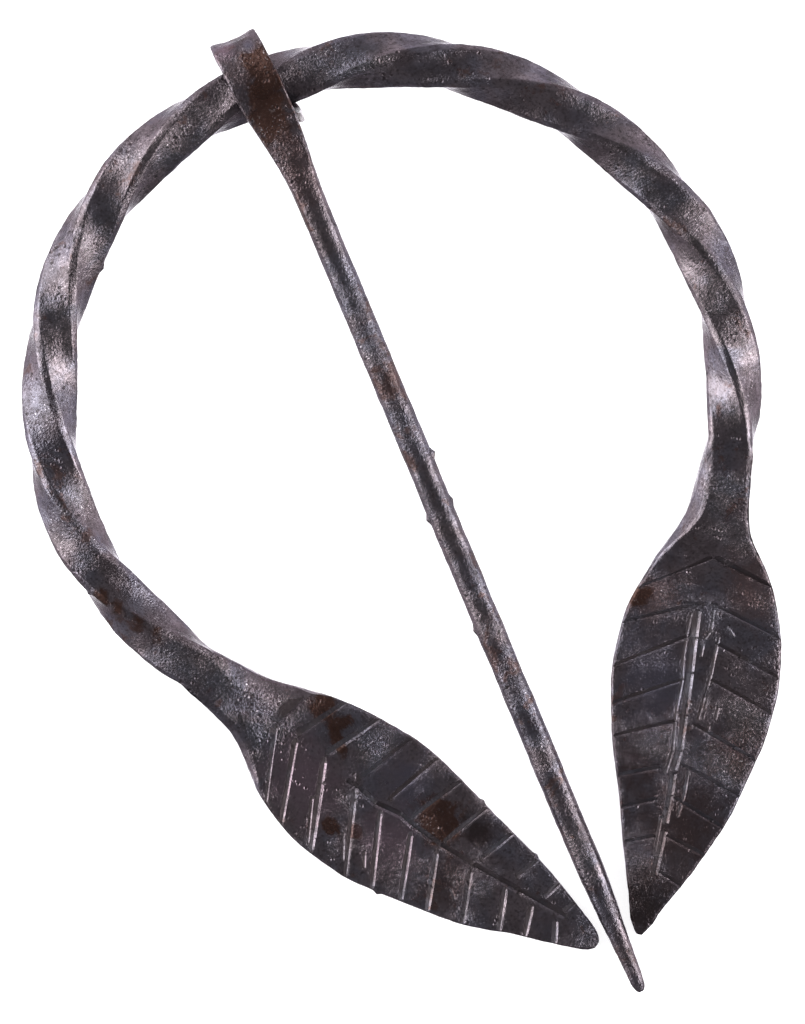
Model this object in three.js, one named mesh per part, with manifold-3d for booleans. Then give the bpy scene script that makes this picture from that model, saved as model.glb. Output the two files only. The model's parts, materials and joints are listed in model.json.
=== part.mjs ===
// A hand-forged penannular brooch in blackened iron: a ring of twisted square bar whose two ends are
// hammered out into veined leaves, and a pin whose head is curled round the bar so that it swings and slides.
// Millimetres, +Z up. The brooch lies on its back, the pin along -Y, and the origin is under the middle of its box.
import * as THREE from "three";
import { mergeVertices } from "three/addons/utils/BufferGeometryUtils.js";
import Module from "manifold-3d";

const wasm = await Module();
wasm.setup();

// The ring's bar, in polar form about the middle of the ring. Angles are counter-clockwise from +X.
const bar = {
  radius: 38,
  side: 5,
  corner: 0.6,
  hollow: 0.07,
  rightEnd: -29.4,
  leftEnd: 210.6,
  quarterTurns: 11,
  stepsPerTurn: 8,
};

// How far the hand-bent ring strays from a true circle: angle, then millimetres outwards.
const stray = [
  [-30, -0.1],
  [-12, 0.2],
  [5, 0.3],
  [22, 0],
  [45, -0.3],
  [72, -0.1],
  [90, -0.3],
  [103, 0.05],
  [122, 0.4],
  [138, 0.3],
  [153, -0.1],
  [178, -0.2],
  [193, -1],
  [203, -1.4],
  [211, -1.5],
];

// The bar's height above the table: it is lifted by the pin's loop and comes down towards the leaves.
const lie = {
  heightAtLoop: 4.88,
  heightAtNecks: 3,
  neckY: -18.6,
  loopY: 37.7,
};

// Each leaf is drawn along its own line from neck to tip. Its outline holds distance from the neck,
// outer and inner half-width. Its bevels hold distance, outer and inner bevel width, and the pitches say
// how steeply each bevel falls. A vein is where it leaves the midrib and where it reaches the edge.
// The vein roots hold distance, how far the midrib strays outwards, and how far short of it veins stop.
const rightLeaf = {
  end: bar.rightEnd,
  tip: [2.55, -65.2],
  outline: [
    [0, 2.5, 2.6],
    [4, 3, 2.9],
    [8, 3.6, 3.2],
    [10, 4.2, 3.9],
    [12, 5.6, 4.8],
    [14, 7, 5.8],
    [17, 8.4, 6.9],
    [21, 9.7, 8.1],
    [26, 10.3, 8.4],
    [31, 10, 7.7],
    [36, 8.9, 6.5],
    [41, 7.6, 4.9],
    [46, 5.5, 3.6],
    [50, 3.4, 2.3],
    [53, 1.7, 1.5],
    [54.8, 1.1, 1],
    [55.6, 0.5, 0.4],
  ],
  bevels: [
    [0, 0.6, 0.7],
    [4, 0.45, 1.4],
    [9, 0.4, 1.7],
    [12, 0.35, 1],
    [15, 0.3, 0.4],
    [20, 0.25, 0.25],
    [53, 0.25, 0.25],
    [55.4, 0.1, 0.1],
  ],
  outerPitch: 1,
  innerPitch: 1.3,
  outerVeins: [
    [13.1, 15.1],
    [18.1, 20.6],
    [22.3, 25],
    [26.4, 29],
    [31.6, 34.4],
    [36.2, 38.6],
    [40, 42.4],
    [44.3, 45.8],
    [48.4, 49.6],
  ],
  innerVeins: [
    [13.1, 18],
    [18.1, 22],
    [22, 27],
    [26.9, 31.1],
    [31.6, 34.6],
    [37, 38.8],
    [40.5, 42.2],
    [44.6, 46],
  ],
  midrib: [
    { from: [19.5, -0.3], to: [27, 0.25] },
    { from: [26, 0.2], to: [37, 0.5] },
    { from: [36, 0.5], to: [48.5, 0.4] },
    { from: [18.5, 1.8], to: [22.2, 1.8] },
    { from: [22.6, 2.6], to: [31, 2.2] },
    { from: [35, 2.2], to: [40, 2.1] },
  ],
  veinRoots: [
    [13, 0.5, 0.1],
    [18, 0.9, 0.3],
    [22, 1, 1.4],
    [27, 1.2, 1.4],
    [32, 0.7, 0.9],
    [37, 0, 1],
    [45, 0.4, 0.5],
    [50, 0.5, 0.3],
  ],
};

const leftLeaf = {
  end: bar.leftEnd,
  tip: [-2.1, -64.5],
  outline: [
    [0, 2.5, 2.6],
    [4, 3.1, 3],
    [8, 4, 3.6],
    [10, 5.1, 4.3],
    [12, 6.4, 5],
    [14, 7.7, 5.7],
    [17, 8.8, 6.4],
    [21, 9.8, 7],
    [26, 9.9, 7.3],
    [31, 9.1, 6.6],
    [36, 8, 5.6],
    [41, 6.7, 4.7],
    [46, 4.4, 3.6],
    [50, 2.9, 2.4],
    [52, 1.9, 1.7],
    [53.6, 1.1, 1.1],
    [54.5, 0.5, 0.4],
  ],
  bevels: [
    [0, 0.6, 0.7],
    [2, 0.25, 1.3],
    [5, 0.7, 2],
    [8, 1.1, 2.2],
    [11, 1.2, 1.6],
    [14, 0.6, 0.6],
    [18, 0.25, 0.25],
    [52, 0.25, 0.25],
    [54.3, 0.1, 0.1],
  ],
  outerPitch: 1.2,
  innerPitch: 0.5,
  outerVeins: [
    [11.2, 15.4],
    [13.9, 18.1],
    [17.7, 22.6],
    [22.2, 27.3],
    [25.7, 30.3],
    [30.3, 33.8],
    [33.8, 36.9],
    [38.1, 40.9],
    [42.4, 44.7],
    [45.9, 47.4],
    [49.1, 50.6],
  ],
  innerVeins: [
    [11.2, 12.2],
    [13.9, 16.3],
    [17.7, 20.4],
    [22.2, 24.6],
    [26.3, 28.2],
    [29.5, 31.8],
    [34, 35.8],
    [38.4, 39.8],
    [42.8, 43.8],
    [46.5, 47.2],
    [49.3, 49.9],
  ],
  midrib: [
    { from: [22, 0.6], to: [30, 1] },
    { from: [29, 1], to: [38, 0.6] },
    { from: [37, 0.7], to: [50, -0.6] },
  ],
  veinRoots: [
    [11, 0.1, 0],
    [18, 0, 0.1],
    [22, 0.5, 0.1],
    [26, 0.7, 0.6],
    [34, 1, 0.5],
    [38, 0.5, 0.6],
    [43, -0.2, 0.7],
    [50, -0.2, 0.6],
  ],
};

// A leaf's thickness: distance from the neck, then the heights of its face and of its back.
// Its section changes from the bar's square to a flat blade over the stretch up to spreadBy.
const blade = {
  heights: [
    [0, 5.45, 0.45],
    [4, 5, 0.2],
    [8, 4, 0.05],
    [11, 3.1, 0],
    [14, 2.45, 0],
    [18, 2.1, 0],
    [30, 1.9, 0],
    [48, 1.7, 0],
    [55.4, 1.4, 0],
  ],
  crown: 0.12,
  spreadBy: 12,
  backBevel: 0.3,
  deepestBevel: 0.55,
  highestWaist: 0.3,
  step: 2.2,
  crowding: 1.15,
};

// The chiselled veins and midrib: width and depth of the V, and how soon a stroke reaches its depth.
const chisel = {
  veinWidth: 0.6,
  veinDepth: 0.32,
  ribWidth: 0.7,
  ribDepth: 0.4,
  lift: 0.6,
  entry: 0.16,
  entryDepth: 0.2,
};

// The pin's loop is an oval round the bar, seen from the side, and the strap is curled nearly shut.
const loop = {
  middleY: 38.15,
  middleZ: 5,
  halfLength: 5.3,
  halfHeight: 4.35,
  from: -210,
  to: 90,
  step: 15,
};

// The pin's section from the strap to the point: distance from the middle of the loop towards the
// point, then width, thickness, squareness and sideways place. Squareness 2 is an oval.
const shank = {
  tipY: -71.2,
  tipHeight: 0.75,
  sections: [
    [0, 5.5, 1.3, 6, -0.3],
    [3.7, 5.25, 1.4, 6, -0.05],
    [6, 4.9, 1.65, 5, 0.15],
    [9, 4.3, 2.2, 4, 0.35],
    [12, 3.7, 2.8, 3, 0.4],
    [15, 3.3, 3.15, 2.4, 0.4],
    [20, 3.2, 3.2, 2.2, 0.4],
    [94, 3.1, 3.1, 2.2, 0.4],
    [98, 2.75, 2.75, 2.1, 0.4],
    [102, 2.2, 2.2, 2, 0.4],
    [106, 1.75, 1.7, 2, 0.4],
    [108.4, 1.45, 1.4, 2, 0.4],
    [109, 1.1, 1.1, 2, 0.4],
    [109.35, 0.5, 0.5, 2, 0.4],
  ],
  steps: [2, 3.7, 5, 6.5, 8, 9.5, 11, 12.5, 14, 16, 20, 45, 70, 94, 96, 98, 100, 102, 104, 106, 108.4, 109, 109.35],
};

// The strap round the loop: angle on the oval, then width, thickness and sideways place.
const strap = [
  [-210, 4.6, 1.1, 0.55],
  [-195, 5.3, 1.3, 0.5],
  [-150, 5.4, 1.3, 0.35],
  [-90, 5.4, 1.3, -0.15],
  [0, 5.25, 1.3, -0.75],
  [45, 5.5, 1.3, -0.6],
  [90, 5.5, 1.3, -0.3],
];
const strapSquareness = 6;
const pinSides = 16;

const iron = new THREE.MeshStandardMaterial({ color: 0x2b2627, roughness: 0.5, metalness: 0.85 });
const pinIron = new THREE.MeshStandardMaterial({ color: 0x30282a, roughness: 0.55, metalness: 0.85 });

const radians = (degrees) => (degrees * Math.PI) / 180;

// A smooth curve through rows of numbers: the first column is where, the chosen column is the value.
// It never overshoots, so a flat stretch between two equal rows stays flat.
function smoothAt(rows, where, column) {
  let i = 0;
  while (i < rows.length - 2 && where > rows[i + 1][0]) {
    i += 1;
  }
  const slope = (k) => (rows[k + 1][column] - rows[k][column]) / (rows[k + 1][0] - rows[k][0]);
  const tangent = (k) => {
    if (k <= 0 || k >= rows.length - 1) {
      return slope(Math.min(k, rows.length - 2));
    }
    const before = slope(k - 1);
    const after = slope(k);
    return before * after > 0 ? (2 * before * after) / (before + after) : 0;
  };
  const width = rows[i + 1][0] - rows[i][0];
  const t = THREE.MathUtils.clamp((where - rows[i][0]) / width, 0, 1);
  const ease = t * t * (3 - 2 * t);
  const value = rows[i][column] * (1 - ease) + rows[i + 1][column] * ease;
  return value + width * t * (1 - t) * (tangent(i) * (1 - t) - tangent(i + 1) * t);
}

// Closes a row of equal rings of points into one skin, with a fan of triangles over each end.
function skin(rings) {
  const sides = rings[0].length;
  const points = rings.flat();
  const faces = [];
  for (let j = 0; j < rings.length - 1; j += 1) {
    for (let i = 0; i < sides; i += 1) {
      const a = j * sides + i;
      const b = j * sides + ((i + 1) % sides);
      faces.push(a, b, b + sides, a, b + sides, a + sides);
    }
  }
  const last = (rings.length - 1) * sides;
  for (let i = 1; i < sides - 1; i += 1) {
    faces.push(0, i + 1, i, last, last + i, last + i + 1);
  }
  // The sum of the signed tetrahedra is negative when the rings run the other way round.
  let volume = 0;
  for (let i = 0; i < faces.length; i += 3) {
    const [a, b, c] = [points[faces[i]], points[faces[i + 1]], points[faces[i + 2]]];
    volume += a.dot(b.clone().cross(c));
  }
  const geometry = new THREE.BufferGeometry().setFromPoints(points);
  geometry.setIndex(volume < 0 ? faces.reverse() : faces);
  return geometry;
}

function toSolid(geometry) {
  const bare = geometry.clone();
  bare.deleteAttribute("normal");
  bare.deleteAttribute("uv");
  const merged = mergeVertices(bare, 1e-4);
  return new wasm.Manifold(
    new wasm.Mesh({
      numProp: 3,
      vertProperties: new Float32Array(merged.attributes.position.array),
      triVerts: new Uint32Array(merged.index.array),
    }),
  );
}

function toGeometry(solid) {
  const mesh = solid.getMesh();
  const geometry = new THREE.BufferGeometry();
  geometry.setAttribute("position", new THREE.BufferAttribute(mesh.vertProperties, 3));
  geometry.setIndex(new THREE.BufferAttribute(mesh.triVerts, 1));
  geometry.computeVertexNormals();
  return geometry;
}

function barHeight(y) {
  const share = (y - lie.neckY) / (lie.loopY - lie.neckY);
  return lie.heightAtNecks + share * (lie.heightAtLoop - lie.heightAtNecks);
}

function barPoint(angle, outwards = 0) {
  const reach = bar.radius + smoothAt(stray, angle, 1) + outwards;
  return new THREE.Vector2(reach * Math.cos(radians(angle)), reach * Math.sin(radians(angle)));
}

// Twelve points round the square bar with flattened corners, from the middle of its outer side.
function barSection() {
  const half = bar.side / 2;
  const near = half - bar.corner;
  const middle = half - bar.hollow;
  const quarter = [
    [middle, 0],
    [half, near],
    [near, half],
  ];
  const section = [];
  for (let turn = 0; turn < 4; turn += 1) {
    const c = Math.round(Math.cos((turn * Math.PI) / 2));
    const s = Math.round(Math.sin((turn * Math.PI) / 2));
    section.push(...quarter.map(([u, v]) => [u * c - v * s, u * s + v * c]));
  }
  return section;
}

// The twisted stretch: the square section turns a quarter for each equal stretch of the ring.
function twistedRings() {
  const section = barSection();
  const steps = bar.quarterTurns * bar.stepsPerTurn;
  const rings = [];
  for (let k = 0; k <= steps; k += 1) {
    const angle = THREE.MathUtils.lerp(bar.rightEnd, bar.leftEnd, k / steps);
    const turn = radians((90 * k) / bar.stepsPerTurn);
    rings.push(
      section.map(([u, v]) => {
        const outwards = u * Math.cos(turn) - v * Math.sin(turn);
        const upwards = u * Math.sin(turn) + v * Math.cos(turn);
        const place = barPoint(angle, outwards);
        return new THREE.Vector3(place.x, place.y, barHeight(place.y) + upwards);
      }),
    );
  }
  return rings;
}

// A leaf's own axes: along runs from the neck to the tip, and across points away from the pin.
function leafAxes(leaf) {
  const neck = barPoint(leaf.end);
  const along = new THREE.Vector2(...leaf.tip).sub(neck);
  const length = along.length();
  along.normalize();
  const across = new THREE.Vector2(-along.y, along.x);
  if (across.x * neck.x < 0) {
    across.negate();
  }
  return { neck, along, across, length };
}

function leafPlace(axes, distance, side) {
  return axes.neck.clone().addScaledVector(axes.along, distance).addScaledVector(axes.across, side);
}

// A leaf's section has the bar's twelve points: outer side, face, inner side and back.
function leafSection(leaf, distance) {
  const outer = smoothAt(leaf.outline, distance, 1);
  const inner = smoothAt(leaf.outline, distance, 2);
  const outerBevel = smoothAt(leaf.bevels, distance, 1);
  const innerBevel = smoothAt(leaf.bevels, distance, 2);
  const face = smoothAt(blade.heights, distance, 1);
  const back = smoothAt(blade.heights, distance, 2);
  const thickness = face - back;
  const spread = THREE.MathUtils.smoothstep(distance, 0, blade.spreadBy);
  const crown = THREE.MathUtils.lerp(-bar.hollow, blade.crown, spread);
  const backBevel = THREE.MathUtils.lerp(bar.corner, blade.backBevel, spread);
  const outerPitch = THREE.MathUtils.lerp(1, leaf.outerPitch, spread);
  const innerPitch = THREE.MathUtils.lerp(1, leaf.innerPitch, spread);
  const outerRise = face - Math.min(outerBevel * outerPitch, blade.deepestBevel * thickness);
  const innerRise = face - Math.min(innerBevel * innerPitch, blade.deepestBevel * thickness);
  const waist = back + Math.min(backBevel, blade.highestWaist * thickness);
  const rib = (outer - inner) / 2;
  return [
    [outer, (outerRise + waist) / 2],
    [outer, outerRise],
    [outer - outerBevel, face],
    [rib, face + crown],
    [innerBevel - inner, face],
    [-inner, innerRise],
    [-inner, (innerRise + waist) / 2],
    [-inner, waist],
    [backBevel - inner, back],
    [rib, back],
    [outer - backBevel, back],
    [outer, waist],
  ];
}

function leafRings(leaf) {
  const axes = leafAxes(leaf);
  const count = Math.round(axes.length / blade.step);
  const rings = [];
  for (let k = 1; k <= count; k += 1) {
    // The stations close up towards the rounded tip.
    const distance = axes.length * Math.sin((k / count) * (Math.PI / 2)) ** blade.crowding;
    rings.push(
      leafSection(leaf, distance).map(([side, height]) => {
        const place = leafPlace(axes, distance, side);
        return new THREE.Vector3(place.x, place.y, height);
      }),
    );
  }
  return rings;
}

// The height of a leaf's face at one spot, read off its section.
function faceHeight(leaf, distance, side) {
  const upper = leafSection(leaf, distance).slice(1, 6);
  for (let i = 0; i < upper.length - 1; i += 1) {
    const [outer, outerHeight] = upper[i];
    const [inner, innerHeight] = upper[i + 1];
    if (side >= inner && side <= outer) {
      return THREE.MathUtils.mapLinear(side, inner, outer, innerHeight, outerHeight);
    }
  }
  return Math.min(upper[0][1], upper[4][1]);
}

// One chisel stroke, from one spot on the leaf to another: a V that runs in and out of its full depth.
function chiselStroke(leaf, from, to, width, depth) {
  const axes = leafAxes(leaf);
  const start = leafPlace(axes, ...from);
  const end = leafPlace(axes, ...to);
  const sideways = end.clone().sub(start).normalize();
  sideways.set(-sideways.y, sideways.x);
  const stations = [
    [0, chisel.entryDepth],
    [chisel.entry, 1],
    [1 - chisel.entry, 1],
    [1, chisel.entryDepth],
  ];
  const rings = stations.map(([share, deep]) => {
    const place = start.clone().lerp(end, share);
    const distance = THREE.MathUtils.lerp(from[0], to[0], share);
    const side = THREE.MathUtils.lerp(from[1], to[1], share);
    const surface = faceHeight(leaf, distance, side);
    const reach = (width / 2 / depth) * (depth * deep + chisel.lift);
    return [
      new THREE.Vector3(place.x, place.y, surface - depth * deep),
      new THREE.Vector3(place.x - sideways.x * reach, place.y - sideways.y * reach, surface + chisel.lift),
      new THREE.Vector3(place.x + sideways.x * reach, place.y + sideways.y * reach, surface + chisel.lift),
    ];
  });
  return toSolid(skin(rings));
}

function veinStrokes(leaf) {
  const strokes = [];
  const vein = ([rootAt, edgeAt], direction, column) => {
    const root = smoothAt(leaf.veinRoots, rootAt, 1) + direction * smoothAt(leaf.veinRoots, rootAt, 2);
    const edge = direction * (smoothAt(leaf.outline, edgeAt, column) - 0.2);
    strokes.push(chiselStroke(leaf, [rootAt, root], [edgeAt, edge], chisel.veinWidth, chisel.veinDepth));
  };
  leaf.outerVeins.forEach((row) => vein(row, 1, 1));
  leaf.innerVeins.forEach((row) => vein(row, -1, 2));
  for (const { from, to } of leaf.midrib) {
    strokes.push(chiselStroke(leaf, from, to, chisel.ribWidth, chisel.ribDepth));
  }
  return strokes;
}

function ringGeometry() {
  const twisted = twistedRings();
  const sides = twisted[0].length;
  const shift = (3 * bar.quarterTurns) % sides;
  // The twist carries each corner on, so the left leaf's points are counted from where it leaves them.
  const left = leafRings(leftLeaf).map((points) => points.map((_, i) => points[(i + shift) % sides]));
  const right = leafRings(rightLeaf).reverse();
  let solid = toSolid(skin([...right, ...twisted, ...left]));
  for (const stroke of [...veinStrokes(rightLeaf), ...veinStrokes(leftLeaf)]) {
    solid = solid.subtract(stroke);
  }
  return toGeometry(solid);
}

// One ring of points round the pin, square to its path.
function pinRing(place, tangent, width, thickness, squareness) {
  const wide = new THREE.Vector3(1, 0, 0).addScaledVector(tangent, -tangent.x).normalize();
  const thick = new THREE.Vector3().crossVectors(tangent, wide);
  const points = [];
  for (let i = 0; i < pinSides; i += 1) {
    const a = ((i + 0.5) / pinSides) * 2 * Math.PI;
    const rounded = (value) => Math.sign(value) * Math.abs(value) ** (2 / squareness);
    points.push(
      place
        .clone()
        .addScaledVector(wide, (width / 2) * rounded(Math.cos(a)))
        .addScaledVector(thick, (thickness / 2) * rounded(Math.sin(a))),
    );
  }
  return points;
}

function pinGeometry() {
  const stations = [];
  for (let angle = loop.from; angle <= loop.to; angle += loop.step) {
    stations.push({
      place: new THREE.Vector3(
        smoothAt(strap, angle, 3),
        loop.middleY + loop.halfLength * Math.cos(radians(angle)),
        loop.middleZ + loop.halfHeight * Math.sin(radians(angle)),
      ),
      width: smoothAt(strap, angle, 1),
      thickness: smoothAt(strap, angle, 2),
      squareness: strapSquareness,
    });
  }
  const top = loop.middleZ + loop.halfHeight;
  const run = loop.middleY - shank.tipY;
  for (const distance of shank.steps) {
    stations.push({
      place: new THREE.Vector3(
        smoothAt(shank.sections, distance, 4),
        loop.middleY - distance,
        THREE.MathUtils.lerp(top, shank.tipHeight, distance / run),
      ),
      width: smoothAt(shank.sections, distance, 1),
      thickness: smoothAt(shank.sections, distance, 2),
      squareness: smoothAt(shank.sections, distance, 3),
    });
  }
  const rings = stations.map((station, k) => {
    const before = stations[Math.max(k - 1, 0)].place;
    const after = stations[Math.min(k + 1, stations.length - 1)].place;
    const tangent = after.clone().sub(before).normalize();
    return pinRing(station.place, tangent, station.width, station.thickness, station.squareness);
  });
  return toGeometry(toSolid(skin(rings)));
}

const brooch = new THREE.Group();
const ringMesh = new THREE.Mesh(ringGeometry(), iron);
ringMesh.name = "ring";
const pinMesh = new THREE.Mesh(pinGeometry(), pinIron);
pinMesh.name = "pin";
brooch.add(ringMesh, pinMesh);

// The brooch is modelled about the middle of its ring, then moved so that its box stands over the origin.
const box = new THREE.Box3().setFromObject(brooch, true);
const middle = box.getCenter(new THREE.Vector3());
for (const mesh of brooch.children) {
  mesh.position.set(-middle.x, -middle.y, -box.min.z);
}

export default brooch;
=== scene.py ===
import json
from math import atan2, cos, hypot, radians, sin

import bmesh
import bpy
from mathutils import Matrix, Vector


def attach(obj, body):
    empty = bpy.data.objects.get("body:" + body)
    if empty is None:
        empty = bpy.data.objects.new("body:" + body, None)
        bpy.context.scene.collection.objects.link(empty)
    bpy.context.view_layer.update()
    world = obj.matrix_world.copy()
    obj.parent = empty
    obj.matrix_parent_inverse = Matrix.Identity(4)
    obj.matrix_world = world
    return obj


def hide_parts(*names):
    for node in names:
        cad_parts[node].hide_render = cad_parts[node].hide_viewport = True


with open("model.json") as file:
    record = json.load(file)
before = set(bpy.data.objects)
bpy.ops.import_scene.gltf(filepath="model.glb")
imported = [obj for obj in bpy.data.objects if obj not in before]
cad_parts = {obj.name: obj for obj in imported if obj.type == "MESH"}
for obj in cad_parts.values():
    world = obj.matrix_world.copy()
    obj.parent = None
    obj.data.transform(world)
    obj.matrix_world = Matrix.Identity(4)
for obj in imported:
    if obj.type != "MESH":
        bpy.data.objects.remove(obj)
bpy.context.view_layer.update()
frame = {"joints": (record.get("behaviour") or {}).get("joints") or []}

hinge = Vector(frame["joints"][0]["pos_m"]) * 1000
print("frame loaded, hinge at", [round(v, 2) for v in hinge])

# The iron is forged at the bench in millimetres about the middle of the ring,
# and carried to its place in metres when it is finished.
loopPlace = Vector((-0.3, 37.7, 0.0))     # the pin's hinge, seen from the middle of the ring
ringMiddle = Vector((hinge.x, hinge.y, 0.0)) - loopPlace
near = 0.01               # points this close count as lying together


# Small helpers for work at the bench.

def smoothAt(rows, where, column=1):
    # value of a column at a place along rows of numbers, smooth and without overshoot
    i = 0
    while i < len(rows) - 2 and where > rows[i + 1][0]:
        i += 1

    def slope(k):
        return (rows[k + 1][column] - rows[k][column]) / (rows[k + 1][0] - rows[k][0])

    def tangent(k):
        if k <= 0 or k >= len(rows) - 1:
            return slope(min(k, len(rows) - 2))
        before, after = slope(k - 1), slope(k)
        return 2 * before * after / (before + after) if before * after > 0 else 0.0

    width = rows[i + 1][0] - rows[i][0]
    t = min(max((where - rows[i][0]) / width, 0.0), 1.0)
    ease = t * t * (3 - 2 * t)
    value = rows[i][column] * (1 - ease) + rows[i + 1][column] * ease
    return value + width * t * (1 - t) * (tangent(i) * (1 - t) - tangent(i + 1) * t)


def eased(low, high, where):
    t = min(max((where - low) / (high - low), 0.0), 1.0)
    return t * t * (3 - 2 * t)


def objectMode():
    bpy.ops.object.mode_set(mode="OBJECT")


def deselectAll():
    if bpy.context.object and bpy.context.object.mode != "OBJECT":
        objectMode()
    bpy.ops.object.select_all(action="DESELECT")


def takeUp(piece):
    # makes one piece the only selected and the active one
    deselectAll()
    piece.select_set(True)
    bpy.context.view_layer.objects.active = piece


def editMode(kind="VERT"):
    bpy.ops.object.mode_set(mode="EDIT")
    bpy.ops.mesh.select_mode(type=kind)


def pick(kind, test):
    bpy.ops.mesh.select_mode(type=kind)
    mesh = bpy.context.object.data
    shape = bmesh.from_edit_mesh(mesh)
    for vert in shape.verts:
        vert.select = False
    shape.select_flush(False)
    parts = {"VERT": shape.verts, "EDGE": shape.edges, "FACE": shape.faces}[kind]
    for part in parts:
        if test(part):
            part.select_set(True)
    shape.select_flush_mode()
    bmesh.update_edit_mesh(mesh)


def pickVerts(test):
    pick("VERT", lambda vert: test(vert.co))


def runsAlong(axis):
    # edges parallel to an axis
    def test(edge):
        way = edge.verts[1].co - edge.verts[0].co
        return abs(way[axis]) > 0.99 * way.length
    return test


def shift(x, y, z):
    bpy.ops.transform.translate(value=(x, y, z))


def stretch(x, y, z, centre):
    bpy.ops.transform.resize(value=(x, y, z), center_override=centre)


def drawOut(x, y, z):
    # extrudes the faces that are picked
    bpy.ops.mesh.extrude_region_move(TRANSFORM_OT_translate={"value": (x, y, z)})


def takeAll():
    bpy.ops.mesh.select_all(action="SELECT")


def keepCorners(piece, test):
    # remembers the points along the corners through later cuts
    group = piece.vertex_groups.new(name="corner")
    group.add([vert.index for vert in piece.data.vertices if test(vert.co)], 1.0, "REPLACE")


def cornerEdges(piece):
    # the edges that run along a kept corner, each with its two ends
    mesh = piece.data
    group = piece.vertex_groups["corner"].index
    marked = [any(g.group == group and g.weight > 0.5 for g in vert.groups) for vert in mesh.vertices]
    for edge in mesh.edges:
        a, b = edge.vertices
        if marked[a] and marked[b]:
            yield edge, mesh.vertices[a].co, mesh.vertices[b].co


def finishModifier(piece, kind, name, **settings):
    takeUp(piece)
    modifier = piece.modifiers.new(name, kind)
    for key, value in settings.items():
        setattr(modifier, key, value)
    bpy.ops.object.modifier_apply(modifier=modifier.name)


def applyPlace():
    bpy.ops.object.transform_apply(location=True, rotation=True, scale=True)


def startBlock(name, size, place, *metals):
    # a plain block, open in edit mode and selected all over
    deselectAll()
    bpy.ops.mesh.primitive_cube_add(size=size, location=place)
    piece = bpy.context.object
    piece.name = name
    for metal in metals:
        piece.data.materials.append(metal)
    applyPlace()
    editMode()
    takeAll()
    return piece


# Materials. Patterns are on Object coordinates, in metres.

def newGroup(name, inputs, outputs):
    group = bpy.data.node_groups.new(name, "ShaderNodeTree")
    for label, kind, value in inputs:
        socket = group.interface.new_socket(name=label, in_out="INPUT",
                                            socket_type="NodeSocket" + kind)
        if value is not None:
            socket.default_value = value
    for label, kind in outputs:
        group.interface.new_socket(name=label, in_out="OUTPUT", socket_type="NodeSocket" + kind)
    return group, group.nodes.new("NodeGroupInput"), group.nodes.new("NodeGroupOutput")


def addNode(tree, kind, **settings):
    node = tree.nodes.new("ShaderNode" + kind)
    for key, value in settings.items():
        setattr(node, key, value)
    return node


def setInputs(node, values):
    for name, value in values.items():
        node.inputs[name].default_value = value


def joinUp(tree, source, output, target, socket):
    # links an output to an input, each named or numbered
    tree.links.new(source.outputs[output], target.inputs[socket])


def addMath(tree, operation, first, second=None, clamp=False):
    node = addNode(tree, "Math", operation=operation, use_clamp=clamp)
    for socket, value in enumerate((first, second)):
        if value is None:
            continue
        if isinstance(value, (int, float)):
            node.inputs[socket].default_value = value
        else:
            tree.links.new(value, node.inputs[socket])
    return node.outputs[0]


def times(tree, first, second):
    return addMath(tree, "MULTIPLY", first, second)


def addNoise(tree, vector, size, detail=3.0, roughness=0.55, distortion=0.0):
    # fractal noise whose lumps are about size millimetres across
    node = addNode(tree, "TexNoise")
    setInputs(node, {"Scale": 1000 / size, "Detail": detail, "Roughness": roughness,
                     "Distortion": distortion})
    tree.links.new(vector, node.inputs["Vector"])
    return node.outputs["Fac"]


def addRange(tree, value, low, high, toLow=0.0, toHigh=1.0):
    node = addNode(tree, "MapRange", interpolation_type="SMOOTHSTEP")
    tree.links.new(value, node.inputs["Value"])
    setInputs(node, {"From Min": low, "From Max": high, "To Min": toLow, "To Max": toHigh})
    return node.outputs["Result"]


def addMix(tree, share, first, second, blend="MIX"):
    node = addNode(tree, "Mix", data_type="RGBA", blend_type=blend)
    for socket, value in ((node.inputs[0], share), (node.inputs[6], first), (node.inputs[7], second)):
        if isinstance(value, (int, float)):
            socket.default_value = value
        elif isinstance(value, tuple):
            socket.default_value = (*value, 1.0)
        else:
            tree.links.new(value, socket)
    return node.outputs[2]


patternSizes = {
    # millimetres across the lumps of each pattern
    "clouds": 7.0,
    "mottle": 2.2,
    "specks": 0.3,
    "speckPatches": 6.0,
    "grain": 0.26,
    "grainPatches": 6.0,
    "pits": 0.8,
    "pitPatches": 3.0,
    "bloom": 5.0,
    "bloomEdge": 0.9,
    "stainEdge": 1.6,
    "bump": 0.001,            # metres of relief to one millimetre of height
}


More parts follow.
